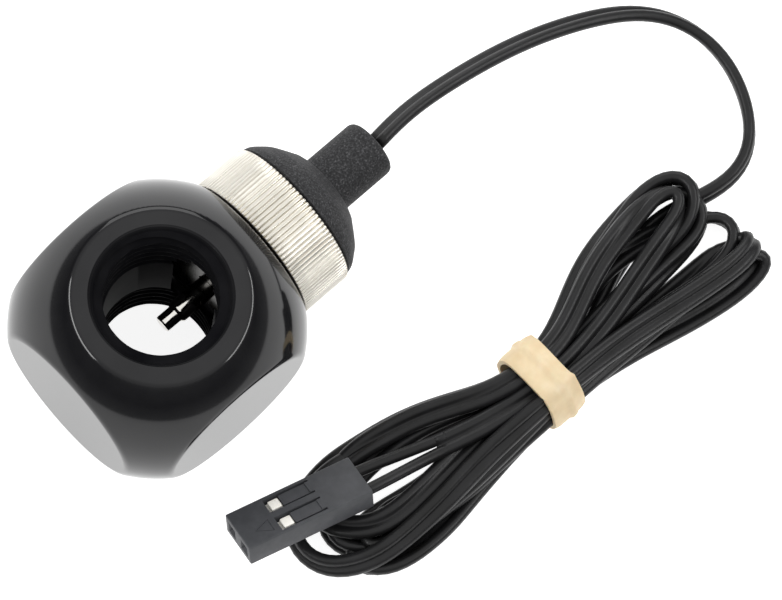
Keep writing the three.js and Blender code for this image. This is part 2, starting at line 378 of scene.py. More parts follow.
def plain_metal(name, dark, light, low=0.2, high=0.4, metallic=1.0):
    s = Surface(name, light, low, metallic)
    s.color(s.noise(2500), [(0.3, dark), (0.7, light)])
    s.roughness(s.noise(5000), low, high)
    return s.material


def boot_rubber():
    s = Surface("grained_rubber", (0.03, 0.03, 0.031), 0.7, specular=0.35)
    grain = s.noise(5200, 5)
    speckle = [(0.40, (0.010, 0.010, 0.011)), (0.58, (0.030, 0.030, 0.032)), (0.72, (0.09, 0.09, 0.094))]
    s.color(grain, speckle)
    s.roughness(s.noise(2500), 0.55, 0.85)
    s.bump(grain, 0.05, 0.8)
    s.bump(s.noise(900, 2), 0.05, 0.5)
    return s.material


def cable_skin():
    s = Surface("cable_skin", (0.009, 0.009, 0.010), 0.4, specular=0.30)
    s.color(s.noise(350), [(0.3, (0.007, 0.007, 0.007)), (0.7, (0.012, 0.012, 0.013))])
    s.roughness(s.noise(1500), 0.30, 0.42)
    s.bump(s.noise(2600, 3), 0.006, 0.35)
    return s.material


def housing_plastic():
    s = Surface("housing_plastic", (0.035, 0.036, 0.040), 0.5, specular=0.4)
    s.color(s.noise(900), [(0.3, (0.046, 0.048, 0.053)), (0.7, (0.060, 0.062, 0.068))])
    s.roughness(s.noise(2200), 0.42, 0.6)
    s.bump(s.noise(5000, 3), 0.006, 0.5)
    return s.material


def band_rubber():
    s = Surface("tan_rubber", (0.80, 0.58, 0.30), 0.6, specular=0.3)
    tans = [(0.3, (0.66, 0.51, 0.31)), (0.55, (0.73, 0.59, 0.38)), (0.75, (0.80, 0.67, 0.47))]
    s.color(s.noise(450, 4), tans)
    s.roughness(s.noise(1800), 0.5, 0.75)
    s.bump(s.noise(3000, 4), 0.02, 0.6)
    s.shader.inputs["Subsurface Weight"].default_value = 0.12
    s.shader.inputs["Subsurface Scale"].default_value = 0.0008
    return s.material


def dark_resin(name, color, rough):
    s = Surface(name, color, rough, specular=0.5)
    s.color(s.noise(900), [(0.3, tuple(c * 0.7 for c in color)), (0.7, tuple(c * 1.3 for c in color))])
    s.roughness(s.noise(1600), rough * 0.8, rough * 1.3)
    s.bump(s.noise(1200), 0.02, 0.3)
    return s.material


# ---- flat cable: route of the free stretch, then the hank's turns ----
# Route points are measured from the block's bore axis, as in the part's own source.
LEAD_ROUTE = [
    (29.25, 0, 12), (32, 0.4, 11.7), (35.1, 0.6, 11), (42.4, 0.1, 9), (49.1, -0.9, 7), (55.3, -2.6, 5),
    (60.8, -5.1, 3.5), (64, -8, 2.5), (65.5, -11.8, 2), (65.6, -15.5, 1.6), (64.5, -18.9, 1.6),
    (62.7, -22.1, 1.7), (60.2, -24.5, 1.8), (57, -25.3, 1.8),
]
UNDER_LOOPS = [(52.5, -24.0, 0.8), (48.5, -22.9, 0.8), (44, -23.4, 0.8), (39.5, -24.9, 0.8), (35, -26.6, 1.0)]
TAIL_ROUTE = [(22.2, -28.4, 5.0), (19.6, -27.8, 4.9), (17, -27.1, 4.8), (14.4, -26.3, 4.8)]

# Each pass through the band: (y, z).
PASS = {
    "lead": (-28.2, 1.9), "low_right": (-30.5, 1.9), "mid_right": (-30.9, 3.7), "low_left": (-27.1, 1.9),
    "mid_centre": (-28.5, 3.8), "far_left": (-26.2, 2.9), "mid_inner": (-29.7, 3.8),
    "low_inner": (-29.4, 1.9), "top_right": (-30.1, 5.6), "mid_far_left": (-26.2, 4.6),
    "mid_left": (-27.3, 3.8), "top_left": (-27.0, 5.7), "tail": (-28.8, 5.7),
}
# Each fold: the pass it comes from and goes to, its round end's centre, radius and lean in degrees, then
# a point that its outgoing and its returning leg bow through, or None.
# A lean of 0 lies flat with the incoming strand on the +Y side, 180 on the -Y side.
NEAR_FOLDS = [
    ("lead", "low_right", (2.9, -29.4, 0.9), 3.1, 0, (11, -28.7, 1.0), None),
    ("mid_right", "low_left", (4.8, -26.0, 1.4), 4.6, 180, None, (13, -22.9, 1.6)),
    ("mid_centre", "far_left", (4.0, -25.7, 2.0), 3.6, 180, (11.5, -29.3, 2.0), (12.5, -22.5, 2.2)),
    ("mid_inner", "low_inner", (2.6, -28.3, 1.8), 2.0, 180, None, (10.5, -29.2, 2.2)),
    ("top_right", "mid_far_left", (1.8, -25.2, 2.2), 5.3, 180, None, (13, -20.8, 2.6)),
    ("mid_left", "top_left", (4.4, -25.0, 2.9), 4.2, 180, (11, -29.2, 3.4), (13.5, -21.8, 3.6)),
]
FAR_FOLDS = [
    ("low_right", "mid_right", (53.7, -32.9, 2.0), 2.1, 230, None, None),
    ("low_left", "mid_centre", (51.0, -24.0, 2.6), 3.2, 0, (40, -21.9, 2.2), None),
    ("far_left", "mid_inner", (52.4, -28.6, 1.9), 2.9, 0, (43.5, -22.9, 2.4), None),
    ("low_inner", "top_right", (53.8, -31.2, 2.8), 2.0, 305, None, None),
    ("mid_far_left", "mid_left", (50.9, -22.9, 3.6), 3.4, 0, (40, -21.5, 4.0), None),
    ("top_left", "tail", (50.9, -22.9, 4.6), 2.2, 0, (41, -22.4, 5.0), None),
]


STEP = 1.0                            # millimetres between the points of the settled cable
# How upright the free stretch stands: (millimetres from the boot, 0 for flat to 1 for on edge).
LEAD_TILT = [(0, 0.54), (30, 0.47), (38, 0.66), (45, 0.9), (104, 0.9)]


def bezier(p0, p1, p2, p3, count):
    t = np.linspace(0, 1, count)[:, None]
    return (1 - t) ** 3 * p0 + 3 * (1 - t) ** 2 * t * p1 + 3 * (1 - t) * t ** 2 * p2 + t ** 3 * p3


def catmull(points, per_span=12):
    points = np.asarray(points, float)
    padded = np.vstack([2 * points[0] - points[1], points, 2 * points[-1] - points[-2]])
    out = []
    for i in range(1, len(padded) - 2):
        a, b, c, d = padded[i - 1:i + 3]
        t = np.linspace(0, 1, per_span, endpoint=False)[:, None]
        out.append(0.5 * (2 * b + (c - a) * t + (2 * a - 5 * b + 4 * c - d) * t ** 2
                          + (3 * b - a - 3 * c + d) * t ** 3))
    out.append(points[-1:])
    return np.concatenate(out)


def leg(start, via, end, along):
    """A strand between two places where it runs straight along X, by way of a third where it does too."""
    stops = [start, end] if via is None else [start, np.array(via, float), end]
    spans = []
    for a, b in zip(stops, stops[1:]):
        pull = along * 0.42 * abs(b[0] - a[0])
        spans.append(bezier(a, a + pull, b - pull, b, 24))
    return np.concatenate(spans)


def fold(side, come, go, centre, radius, lean, out_via, back_via):
    """One teardrop: from the band, round its far end and back. side is +1 past the band, -1 before it."""
    edge = BAND[1] + 0.6 if side > 0 else BAND[0] - 0.6
    centre = np.array(centre, float)
    lean = math.radians(lean)
    across = np.array([0, math.cos(lean), math.sin(lean)])
    along = np.array([float(side), 0, 0])
    turn = np.linspace(0, math.pi, 14)[1:-1, None]
    round_end = centre + radius * (np.cos(turn) * across + np.sin(turn) * along)
    return np.concatenate([
        leg(np.array([edge, *PASS[come]]), out_via, centre + radius * across, along),
        round_end,
        leg(centre - radius * across, back_via, np.array([edge, *PASS[go]]), -along),
    ])


def hank_route():
    """The whole cable's designed line before it settles, in millimetres from the bore's axis."""
    parts = [catmull(LEAD_ROUTE + UNDER_LOOPS + [(BAND[1] + 0.6, *PASS["lead"])])]
    for near, far in zip(NEAR_FOLDS, FAR_FOLDS):
        parts.append(fold(-1, *near))
        parts.append(fold(1, *far))
    parts.append(catmull([(BAND[0] - 0.6, *PASS["tail"])] + TAIL_ROUTE))
    return np.concatenate(parts)


def resample(line, step):
    gaps = np.linalg.norm(np.diff(line, axis=0), axis=1)
    keep = np.concatenate([[True], gaps > 1e-6])
    line = line[keep]
    run = np.concatenate([[0], np.cumsum(np.linalg.norm(np.diff(line, axis=0), axis=1))])
    places = np.linspace(0, run[-1], max(2, int(round(run[-1] / step)) + 1))
    return np.stack([np.interp(places, run, line[:, k]) for k in range(3)], -1)


def smoothed(values, passes):
    """Smooths everything but the two ends."""
    values = values.copy()
    for _ in range(passes):
        values[1:-1] = 0.25 * values[:-2] + 0.5 * values[1:-1] + 0.25 * values[2:]
    return values


def unit(rows):
    return rows / np.linalg.norm(rows, axis=1)[:, None]


TILT_MEAN, TILT_SWING, TILT_PERIOD = 0.46, 0.26, 31.0   # the hank's strands slowly roll from flat to on edge
ROUND_END_CURVE = 0.3                 # a bend this tight or tighter, in radians a step, stands on edge
END_TILT, END_TILT_POINTS = 0.1, 16


def first_widths(line):
    """Starting direction of the cable's width: tilted along the runs, upright in the tight round ends."""
    tangent = unit(np.gradient(line, axis=0))
    curve = np.linalg.norm(np.gradient(tangent, axis=0), axis=1)
    run = STEP * np.arange(len(line))
    upright = TILT_MEAN + TILT_SWING * np.sin(run / TILT_PERIOD)
    upright = np.maximum(upright, np.clip(curve / ROUND_END_CURVE, 0, 1))
    upright = np.where(run < LEAD_TILT[-1][0], np.interp(run, *zip(*LEAD_TILT)), upright)
    upright[-END_TILT_POINTS:] = END_TILT
    tilt = smoothed(upright[:, None], 25)[:, 0] * math.pi / 2
    flat = np.cross(tangent, [0, 0, 1.0])
    flat /= np.linalg.norm(flat, axis=1)[:, None] + 1e-9
    width = flat * np.cos(tilt)[:, None] + np.array([0, 0, 1.0]) * np.sin(tilt)[:, None]
    return unit(width - tangent * np.sum(width * tangent, axis=1)[:, None])


def close_pairs(points, reach, order):
    """Pairs of particles nearer than reach that aren't neighbours along the cable."""
    cells = np.floor(points / reach).astype(np.int64)
    cells -= cells.min(axis=0)
    span = cells.max(axis=0) + 2
    keys = (cells[:, 0] * span[1] + cells[:, 1]) * span[2] + cells[:, 2]
    sorted_at = np.argsort(keys, kind="stable")
    sorted_keys = keys[sorted_at]
    found = []
    for dx in (-1, 0, 1):
        for dy in (-1, 0, 1):
            for dz in (-1, 0, 1):
                shifted = keys + (dx * span[1] + dy) * span[2] + dz
                low = np.searchsorted(sorted_keys, shifted, "left")
                high = np.searchsorted(sorted_keys, shifted, "right")
                counts = high - low
                first = np.repeat(np.arange(len(points)), counts)
                offset = np.arange(counts.sum()) - np.repeat(np.cumsum(counts) - counts, counts)
                second = sorted_at[np.repeat(low, counts) + offset]
                found.append(np.stack([first, second], -1))
    pairs = np.concatenate(found)
    pairs = pairs[pairs[:, 0] < pairs[:, 1]]
    apart = np.abs(order[pairs[:, 0]] - order[pairs[:, 1]])
    pairs = pairs[apart > 3]
    gap = np.linalg.norm(points[pairs[:, 0]] - points[pairs[:, 1]], axis=1)
    return pairs[gap < reach]


BUNDLE = (-28.6, 3.8, 3.05, 3.05)   # middle y and z and half sizes of the bundle inside the band
HANK_EDGE = -18                      # the hank lies beyond this y, the free stretch before it
HOUSING_CLEAR = 3.35                 # the strands under the connector stay below this height
SETTLE_ROUNDS = 420
HELD_LENGTH = 76                     # millimetres from the boot that keep their designed route
HELD_POINTS = 6                      # points before the split that keep it too
FIRST_HOLD, LAST_HOLD = 0.07, 0.03   # pull back to the designed route, early and late
SINK = 0.008                         # fall at each round
BENDING = 0.06                       # stiffness against bending


def pull_to_length(points, move, i, j, rest, stiff):
    """Moves each pair towards its rest distance; no particle is in two pairs of a call."""
    d = points[j] - points[i]
    long = np.linalg.norm(d, axis=1)[:, None] + 1e-9
    fix = stiff * (long - rest) / long * d / (move[i] + move[j] + 1e-9)
    points[i] += fix * move[i]
    points[j] -= fix * move[j]


def cable_links(count, step):
    """The ladder of links that makes two round strands one flat cable, in sets that share no particles."""
    a, b = np.arange(count), np.arange(count) + count
    slant = math.hypot(step, 2 * CORE_R)
    links = [(a, b, 2 * CORE_R, 1.0)]
    for first, second, rest, stiff in [(a[:-1], b[1:], slant, 0.25), (b[:-1], a[1:], slant, 0.25),
                                       (a[:-1], a[1:], step, 1.0), (b[:-1], b[1:], step, 1.0)]:
        links += [(first[0::2], second[0::2], rest, stiff), (first[1::2], second[1::2], rest, stiff)]
    return links


def settle(line, width):
    """Lets the two conductors of the cable push each other apart and lie down, and returns them."""
    count = len(line)
    step = np.linalg.norm(np.diff(line, axis=0), axis=1).mean()
    points = np.concatenate([line + CORE_R * width, line - CORE_R * width])
    home = points.copy()
    order = np.concatenate([np.arange(count), np.arange(count)])
    links = cable_links(count, step)
    pinned = np.zeros(2 * count, bool)
    free_from = int(HELD_LENGTH / step)
    for start in (0, count):
        pinned[start:start + free_from] = True
        pinned[start + count - HELD_POINTS:start + count] = True
    move = np.where(pinned, 0.0, 1.0)[:, None]
    for turn in range(SETTLE_ROUNDS):
        hold = FIRST_HOLD if turn < SETTLE_ROUNDS * 0.6 else LAST_HOLD
        points += move * hold * (home - points) * np.array([1, 1, 0.3])
        points[:, 2] -= SINK * move[:, 0]
        for start in (0, count):
            s = points[start:start + count]
            for gap in (1, 3):
                middle = (s[:-2 * gap] + s[2 * gap:]) / 2 - s[gap:-gap]
                s[gap:-gap] += (BENDING / gap) * middle * move[start + gap:start + count - gap]
        for _ in range(2):
            for link in links:
                pull_to_length(points, move, *link)
        if turn % 4 == 0:
            pairs = close_pairs(points, 2 * CORE_R + 0.5, order)
        push_apart(points, move, pairs)
        points[:, 2] = np.maximum(points[:, 2], CORE_R + CLEAR)
        squeeze(points, move)
    return points[:count], points[count:]


def push_apart(points, move, pairs):
    """Parts strands that are nearer than their thickness."""
    i, j = pairs[:, 0], pairs[:, 1]
    for _ in range(3):
        d = points[j] - points[i]
        long = np.linalg.norm(d, axis=1)[:, None] + 1e-9
        push = 0.3 * np.maximum(0, 2 * CORE_R + 0.02 - long) / long * d
        np.add.at(points, i, -push * move[i])
        np.add.at(points, j, push * move[j])


def squeeze(points, move):
    """Keeps strands inside the band's oval and under the connector."""
    y0, z0, half_y, half_z = BUNDLE
    inside = (points[:, 0] > BAND[0] - 0.6) & (points[:, 0] < BAND[1] + 0.6) & (points[:, 1] < HANK_EDGE)
    p = points[inside]
    dy, dz = (p[:, 1] - y0) / half_y, (p[:, 2] - z0) / half_z
    far = np.maximum(1.0, np.sqrt(dy ** 2 + dz ** 2))
    p[:, 1] = y0 + dy / far * half_y
    p[:, 2] = z0 + dz / far * half_z
    points[inside] = p
    under = (points[:, 0] < 7.2) & (points[:, 1] > -26.5) & (points[:, 1] < -16) & (move[:, 0] > 0)
    points[under, 2] = np.minimum(points[under, 2], HOUSING_CLEAR - CORE_R)


def twin_section(points_per_lobe=12):
    """Half-outline pairs of the figure-eight section: (across the width, through the thickness)."""
    outline = []
    for side in (1, -1):
        start = -0.85 * math.pi if side > 0 else 0.15 * math.pi
        for k in range(points_per_lobe):
            angle = start + 1.70 * math.pi * k / (points_per_lobe - 1)
            outline.append((side * CORE_R + CORE_R * math.cos(angle), CORE_R * math.sin(angle)))
    return outline


def sweep_twin(centre, width):
    """Rings of the flat cable's section along its centre line."""
    tangent = unit(np.gradient(centre, axis=0))
    width = unit(width - tangent * np.sum(width * tangent, axis=1)[:, None])
    normal = np.cross(tangent, width)
    section = twin_section()
    return [[c + u * w + v * n for u, v in section] for c, w, n in zip(centre, width, normal)]


def shifted(points):
    """From places measured off the bore's axis to the row frame."""
    return np.asarray(points, float) + np.array([AXIS_X, 0, 0])


def make_cable():
    """Centre line of the settled cable, and the direction of its width at each point."""
    line = resample(smoothed(resample(hank_route(), STEP), 6), STEP)
    a, b = settle(line, first_widths(line))
    a, b = smoothed(a, 8), smoothed(b, 8)
    return (a + b) / 2, smoothed(a - b, 4)


# ---- port block ----
def flattened(value):
    """Holds a coordinate inside the block's half side, with a small rounding where the flat begins."""
    size = np.abs(value)
    blend = np.clip((size - FLAT + EDGE_ROUND) / (2 * EDGE_ROUND), 0, 1)
    held = np.where(size < FLAT - EDGE_ROUND, size, size - EDGE_ROUND * blend ** 2)
    held = np.where(size > FLAT + EDGE_ROUND, FLAT + 0.0005 * (size - FLAT - EDGE_ROUND), held)
    return np.sign(value) * held


def block_shell(cells=104):
    """Sphere cut by the six faces of a cube, from six grids joined at their edges."""
    spread = np.tan(np.linspace(-1, 1, cells + 1) * math.pi / 4)
    u, v = np.meshgrid(spread, spread, indexing="ij")
    points, faces = [], []
    for axis in range(3):
        for side in (1, -1):
            direction = np.zeros((cells + 1, cells + 1, 3))
            direction[..., axis] = side
            direction[..., (axis + 1) % 3] = u
            direction[..., (axis + 2) % 3] = v
            ball = SPHERE_R * direction / np.linalg.norm(direction, axis=-1)[..., None]
            base = len(points) * (cells + 1) ** 2
            points.append(flattened(ball).reshape(-1, 3))
            for face in grid_faces(cells + 1, cells + 1, closed=False):
                face = tuple(base + k for k in face)
                faces.append(face if side > 0 else face[::-1])
    placed = np.concatenate(points) + np.array([AXIS_X, 0, FLAT])
    obj = mesh_object("block", placed, faces)
    work = bmesh.new()
    work.from_mesh(obj.data)
    bmesh.ops.remove_doubles(work, verts=work.verts, dist=1e-6)
    bmesh.ops.recalc_face_normals(work, faces=work.faces)
    work.to_mesh(obj.data)
    work.free()
    return obj


def thread_radius(along, angles):
    """Radius of a right-hand thread's groove surface at this place along its axis."""
    phase = (along / PITCH - angles / (2 * math.pi)) % 1.0
    ridge = np.clip((np.abs(2 * phase - 1) - 0.15) / 0.7, 0, 1)
    return THREAD_MINOR + (THREAD_MAJOR - THREAD_MINOR) * ridge


def port_radius(depth, along, angles):
    """Radius of a port's wall at this depth below its face: mouth bevel, thread, then the passage."""
    if depth < MOUTH_DEPTH:
        part = max(0.0, depth / MOUTH_DEPTH)
        return MOUTH_R + (THREAD_MAJOR - MOUTH_R) * part + 0.12 * math.exp(-(depth / 0.12) ** 2)
    if depth < THREAD_DEPTH:
        run_out = min(1.0, (THREAD_DEPTH - depth) / 0.5)
        return PASSAGE_R + (thread_radius(along, angles) - PASSAGE_R) * run_out
    return PASSAGE_R


def bore_heights():
    mouth = [-0.6, -0.02, 0.0, 0.06, 0.12, 0.2, 0.35, 0.55, MOUTH_DEPTH]
    thread = list(np.arange(MOUTH_DEPTH + 0.11, THREAD_DEPTH + 0.1, 0.11))
    return mouth + thread


def block_tools():
    lower = bore_heights()
    heights = lower + [SIDE - z for z in reversed(lower)]
    rings = around_z(heights, lambda z, a: port_radius(min(z, SIDE - z), z, a), 112)
    bore = solid("bore_tool", *tube_mesh(rings))
    depths = [-0.6, 0, 0.1, 0.3, MOUTH_DEPTH] + list(np.arange(MOUTH_DEPTH + 0.12, SIDE_PORT_DEPTH, 0.12))
    places = [FLAT - d for d in reversed(depths)]
    rings = around_x(places, side_port_radius, 96)
    side = solid("side_port_tool", *tube_mesh(rings))
    return bore, side


def side_port_radius(x, angles):
    depth = FLAT - x
    if depth < MOUTH_DEPTH:
        return MOUTH_R + (THREAD_MAJOR - MOUTH_R) * max(0.0, depth / MOUTH_DEPTH)
    return thread_radius(x, angles)


def shell_normals(obj):
    """Exact shading normals on the outside of the block; its bores keep the ones their faces give."""
    mesh = obj.data
    count = len(mesh.vertices)
    places = np.zeros(count * 3)
    mesh.vertices.foreach_get("co", places)
    places = places.reshape(-1, 3) / MM - np.array([AXIS_X, 0, FLAT])
    ladder = np.linspace(0, SPHERE_R, 4000)
    held = flattened(ladder)
    slope = np.gradient(held, ladder)
    sphere = np.interp(np.abs(places), held, ladder)
    flatness = np.interp(sphere, ladder, slope)
    normal = np.sign(places) * sphere / np.maximum(flatness, 1e-3)
    normal /= np.linalg.norm(normal, axis=1)[:, None]
    on_shell = np.abs(np.linalg.norm(sphere, axis=1) - SPHERE_R) < 0.03
    loops = len(mesh.loops)
    vertex_of = np.zeros(loops, np.int64)
    mesh.loops.foreach_get("vertex_index", vertex_of)
    given = np.zeros(loops * 3)
    mesh.corner_normals.foreach_get("vector", given)
    given = given.reshape(-1, 3)
    face_normal = np.zeros(len(mesh.polygons) * 3)
    mesh.polygons.foreach_get("normal", face_normal)
    face_normal = face_normal.reshape(-1, 3)
    starts = np.zeros(len(mesh.polygons), np.int64)
    totals = np.zeros(len(mesh.polygons), np.int64)
    mesh.polygons.foreach_get("loop_start", starts)
    mesh.polygons.foreach_get("loop_total", totals)
    face_of = np.repeat(np.arange(len(starts)), totals)
    exact = normal[vertex_of]
    agrees = np.sum(exact * face_normal[face_of], axis=1) > 0.9
    use = on_shell[vertex_of] & agrees
    given[use] = exact[use]
    mesh.normals_split_custom_set([tuple(n) for n in given])


def make_block():
    block = block_shell()
    for tool in block_tools():
        boolean(block, tool)
    smooth_by_angle(block, 28)
    shell_normals(block)
    return finish_piece(block, gloss_black(), "block", "block_coat", "port_block")


# ---- sensor ----
def knurl(drop=0.0):
    """Radius of the straight-knurled rim: broad ribs with narrow grooves that run out deeper at its ends."""
    def radius(x, angles):
        phase = (TEETH * angles / (2 * math.pi)) % 1.0
        at_end = min(x - COLLAR[0], COLLAR[1] - x) < KNURL_END
        depth, sharpness = (0.34, 3) if at_end else (0.17, 5)
        return COLLAR[2] - drop - depth * np.abs(2 * phase - 1) ** sharpness
    return radius


def spigot_thread(x, angles):
    fade = min(1.0, max(0.0, (x - SPIGOT[0]) / 0.6)) * min(1.0, max(0.0, (SPIGOT[1] - x) / 0.4))
    return THREAD_MINOR - SPIGOT_SLACK + (thread_radius(x, angles) - THREAD_MINOR) * fade


def sensor_profile():
    """Half outline of the body: lead hole, spigot, seal's groove, knurled collar, and the cup at the back."""
    front, root = SPIGOT[0], THREAD_MINOR - 0.2
    first, last, _ = COLLAR
    cup_floor, cup_radius = CUP
    profile = [(cup_floor, LEAD_HOLE_R), (front, LEAD_HOLE_R), (front, 3.0), (front, THREAD_MINOR - 0.4)]
    profile += [(x, spigot_thread) for x in np.arange(front + 0.1, SPIGOT[1], 0.1)]
    profile += [(SPIGOT[1] + 0.1, root), (GROOVE[0], root), GROOVE, (first, GROOVE[1])]
    rim = ((0, 0.12), (0.05, 0.03), (0.14, 0.0), (0.29, 0.0))
    profile += [(first + inset, knurl(drop)) for inset, drop in rim]
    profile += [(x, knurl()) for x in np.linspace(first + 0.4, last - 0.4, 6)]
    profile += [(last - inset, knurl(drop)) for inset, drop in reversed(rim)]
    profile += [(last, cup_radius + 0.2), (last - 0.1, cup_radius)]
    profile += [(cup_floor + 0.1, cup_radius), (cup_floor, cup_radius - 0.2)]
    return profile


def make_sensor_body():
    obj = solid("knurled_body", *closed_turning(sensor_profile(), TEETH * 8))
    smooth_by_angle(obj, 50)
    return finish_piece(obj, nickel(), "sensor", "nickel_plated_brass", "sensor_body")


def turned(name, profile, columns, material, slot, node, angle=40):
    obj = solid(name, *closed_turning(profile, columns))
    smooth_by_angle(obj, angle)
    return finish_piece(obj, material, "sensor", slot, node)


def make_probe():
    profile = [
        (0.85, 0.55), (0.85, 0.02), (0.6, 0.02), (0.6, 0.6), (0.61, 0.74), (0.65, 0.84), (0.73, 0.89),
        (0.85, 0.9), (1.6, 0.9), (2.2, 0.9), (2.32, 0.92), (2.55, 1.12), (2.66, 1.165), (2.8, 1.17),
        (8.0, 1.17), (15.4, 1.17), (15.6, 1.12), (15.6, 0.94), (2.9, 0.92), (2.5, 0.65),
    ]
    return turned("stepped_probe", profile, 96, polished_steel(), "polished_steel", "probe_tube", 25)


def make_boot():
    base = COLLAR[1]
    dome = ((0.30, 8.06), (0.94, 7.86), (1.7, 7.3), (2.4, 6.68), (3.1, 5.75), (3.55, 5.1), (3.9, 4.6))
    profile = [(base + 0.03, 1.42), (base + 0.03, 7.5), (base + 0.16, 7.55), (base + 0.2, 7.95)]
    profile += [tuple(p) for p in catmull([(base + along, r) for along, r in dome], 5)]
    neck = ((4.03, 4.3), (4.08, 3.8), (4.1, 3.4), (4.2, 3.2), (4.4, 3.15))
    profile += [(base + along, r) for along, r in neck]
    profile += [(x, SLEEVE_R) for x in np.linspace(base + 5.0, BOOT_END - 0.8, 6)]
    rounding = ((0.5, 3.08), (0.25, 2.95), (0.08, 2.72), (0, 2.4), (0, 1.9), (0.05, 1.5), (0.2, 1.36))
    profile += [(BOOT_END - back, r) for back, r in rounding]
    return turned("grained_boot", profile, 144, boot_rubber(), "boot_rubber", "cable_boot", 60)


def make_ring():
    x, radius, section = SEAL
    angles = np.linspace(0, 2 * math.pi, 20, endpoint=False)
    profile = [(x + section * math.cos(a), radius + section * math.sin(a)) for a in angles]
    ring = dark_resin("seal_rubber", (0.012, 0.012, 0.012), 0.5)
    return turned("face_seal", profile, 128, ring, "seal_rubber", "sealing_ring")


def make_cable_entry():
    rows = 12
    xs = np.linspace(COLLAR[1] - 0.1, BOOT_END - 0.05, rows)
    centre = np.stack([xs, np.zeros(rows), np.full(rows, AXIS_Z)], -1)
    across = np.tile(cable_width[0], (rows, 1))
    obj = solid("cable_in_boot", *tube_mesh(sweep_twin(shifted(centre), across)))
    return finish_piece(obj, cable_skin(), "sensor", "cable_skin", "cable_entry")


def paint_inner_parts():
    """Small parts inside the sensor keep their CAD shape and take a finished material."""
    copper = plain_metal("tinned_copper", (0.50, 0.30, 0.18), (0.66, 0.44, 0.28))
    solder = plain_metal("solder", (0.50, 0.50, 0.52), (0.68, 0.68, 0.70))
    looks = {
        "thermistor_bead": dark_resin("bead_glass", (0.08, 0.05, 0.035), 0.2),
        "thermistor_lead_a": copper, "thermistor_lead_b": copper,
        "solder_joint_a": solder, "solder_joint_b": solder,
        "potting_fill": dark_resin("epoxy", (0.03, 0.03, 0.034), 0.25),
    }
    for node, look in looks.items():
        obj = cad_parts[node]
        obj.data.materials.clear()
        obj.data.materials.append(look)
        obj.data.shade_smooth()


# ---- connector ----
HOUSING_LONG, HOUSING_WIDE, HOUSING_HIGH, WAY = 14.0, 5.08, 2.54, 2.54
HOUSING_AT = (-0.67, -22.29, 6.4)
HOUSING_TURN, HOUSING_PITCH, HOUSING_ROLL = -14.5, 5.7, -24.7
WINDOW = (3.95, 5.6)
TONGUE = (5.6, 9.1)
WINDOW_HALF, TONGUE_HALF = 0.9, 0.68
CAVITY_HALF, CAVITY_HALF_HIGH = 0.9, 0.82
PIN_HALF = 0.42
CRIMP_AT = 9.6


def connector_turn():
    """How the connector lies: turned on the table, nose up a little and leaning on its left edge."""
    angles = ((HOUSING_TURN, "Z"), (HOUSING_PITCH, "Y"), (HOUSING_ROLL, "X"))
    turn = Matrix.Identity(4)
    for degrees, axis in angles:
        turn = turn @ Matrix.Rotation(math.radians(degrees), 4, axis)
    return turn


def lay_connector(obj):
    place = Matrix.Translation(Vector((AXIS_X + HOUSING_AT[0], HOUSING_AT[1], HOUSING_AT[2])) * MM)
    middle = Matrix.Translation(Vector((-HOUSING_LONG / 2 * MM, 0, 0)))
    obj.data.transform(place @ connector_turn() @ middle)


def make_housing():
    half_w, half_h = HOUSING_WIDE / 2, HOUSING_HIGH / 2
    shell = box_object("socket_housing", 0, HOUSING_LONG, -half_w, half_w, -half_h, half_h)
    bevel(shell, 0.14, 3)
    tip, root = TONGUE[0] - 0.1, TONGUE[1]
    for side in (-1, 1):
        y = side * WAY / 2
        hollows = [
            (1.2, HOUSING_LONG + 1, y - CAVITY_HALF, y + CAVITY_HALF, -CAVITY_HALF_HIGH, CAVITY_HALF_HIGH),
            (-1, 2, y - PIN_HALF, y + PIN_HALF, -PIN_HALF, PIN_HALF),
            (*WINDOW, y - WINDOW_HALF, y + WINDOW_HALF, 0, 2),
            (tip, root, y - WINDOW_HALF, y - TONGUE_HALF, 0, 2),
            (tip, root, y + TONGUE_HALF, y + WINDOW_HALF, 0, 2),
            (tip, root - 0.5, y - 0.8, y + 0.8, half_h - 0.1, 2),
        ]
        for sides in hollows:
            boolean(shell, box_object("tool", *sides))
        boolean(shell, pin_funnel(y))
    boolean(shell, first_way_mark())
    smooth_by_angle(shell, 30)
    lay_connector(shell)
    return finish_piece(shell, housing_plastic(), "cable", "housing_plastic", "connector_housing")


def pin_funnel(y):
    """Square lead-in that guides a pin into its way."""
    big, small = 0.72, 0.4
    corners = ((-1, -1), (1, -1), (1, 1), (-1, 1))
    points = [(x, y + a * half, b * half) for x, half in ((-0.05, big), (0.5, small)) for a, b in corners]
    faces = [(3, 2, 1, 0), (4, 5, 6, 7)] + [(k, (k + 1) % 4, 4 + (k + 1) % 4, 4 + k) for k in range(4)]
    return solid("tool", points, faces, smooth=False)


def first_way_mark():
    """Shallow triangle outline that marks the first way."""
    top = HOUSING_HIGH / 2
    corners = np.array([(1.5, -0.9), (3.3, -0.2), (3.3, -1.8)])
    middle = corners.mean(axis=0)
    inner = middle + 0.86 * (corners - middle)
    ring = np.concatenate([corners, inner])
    points = [(x, y, z) for z in (top - 0.05, top + 0.2) for x, y in ring]
    faces = []
    for k in range(3):
        n = (k + 1) % 3
        faces += [(k, n, 3 + n, 3 + k), (6 + k, 9 + k, 9 + n, 6 + n),
                  (k, 6 + k, 6 + n, n), (3 + k, 3 + n, 9 + n, 9 + k)]
    return solid("tool", points, faces, smooth=False)


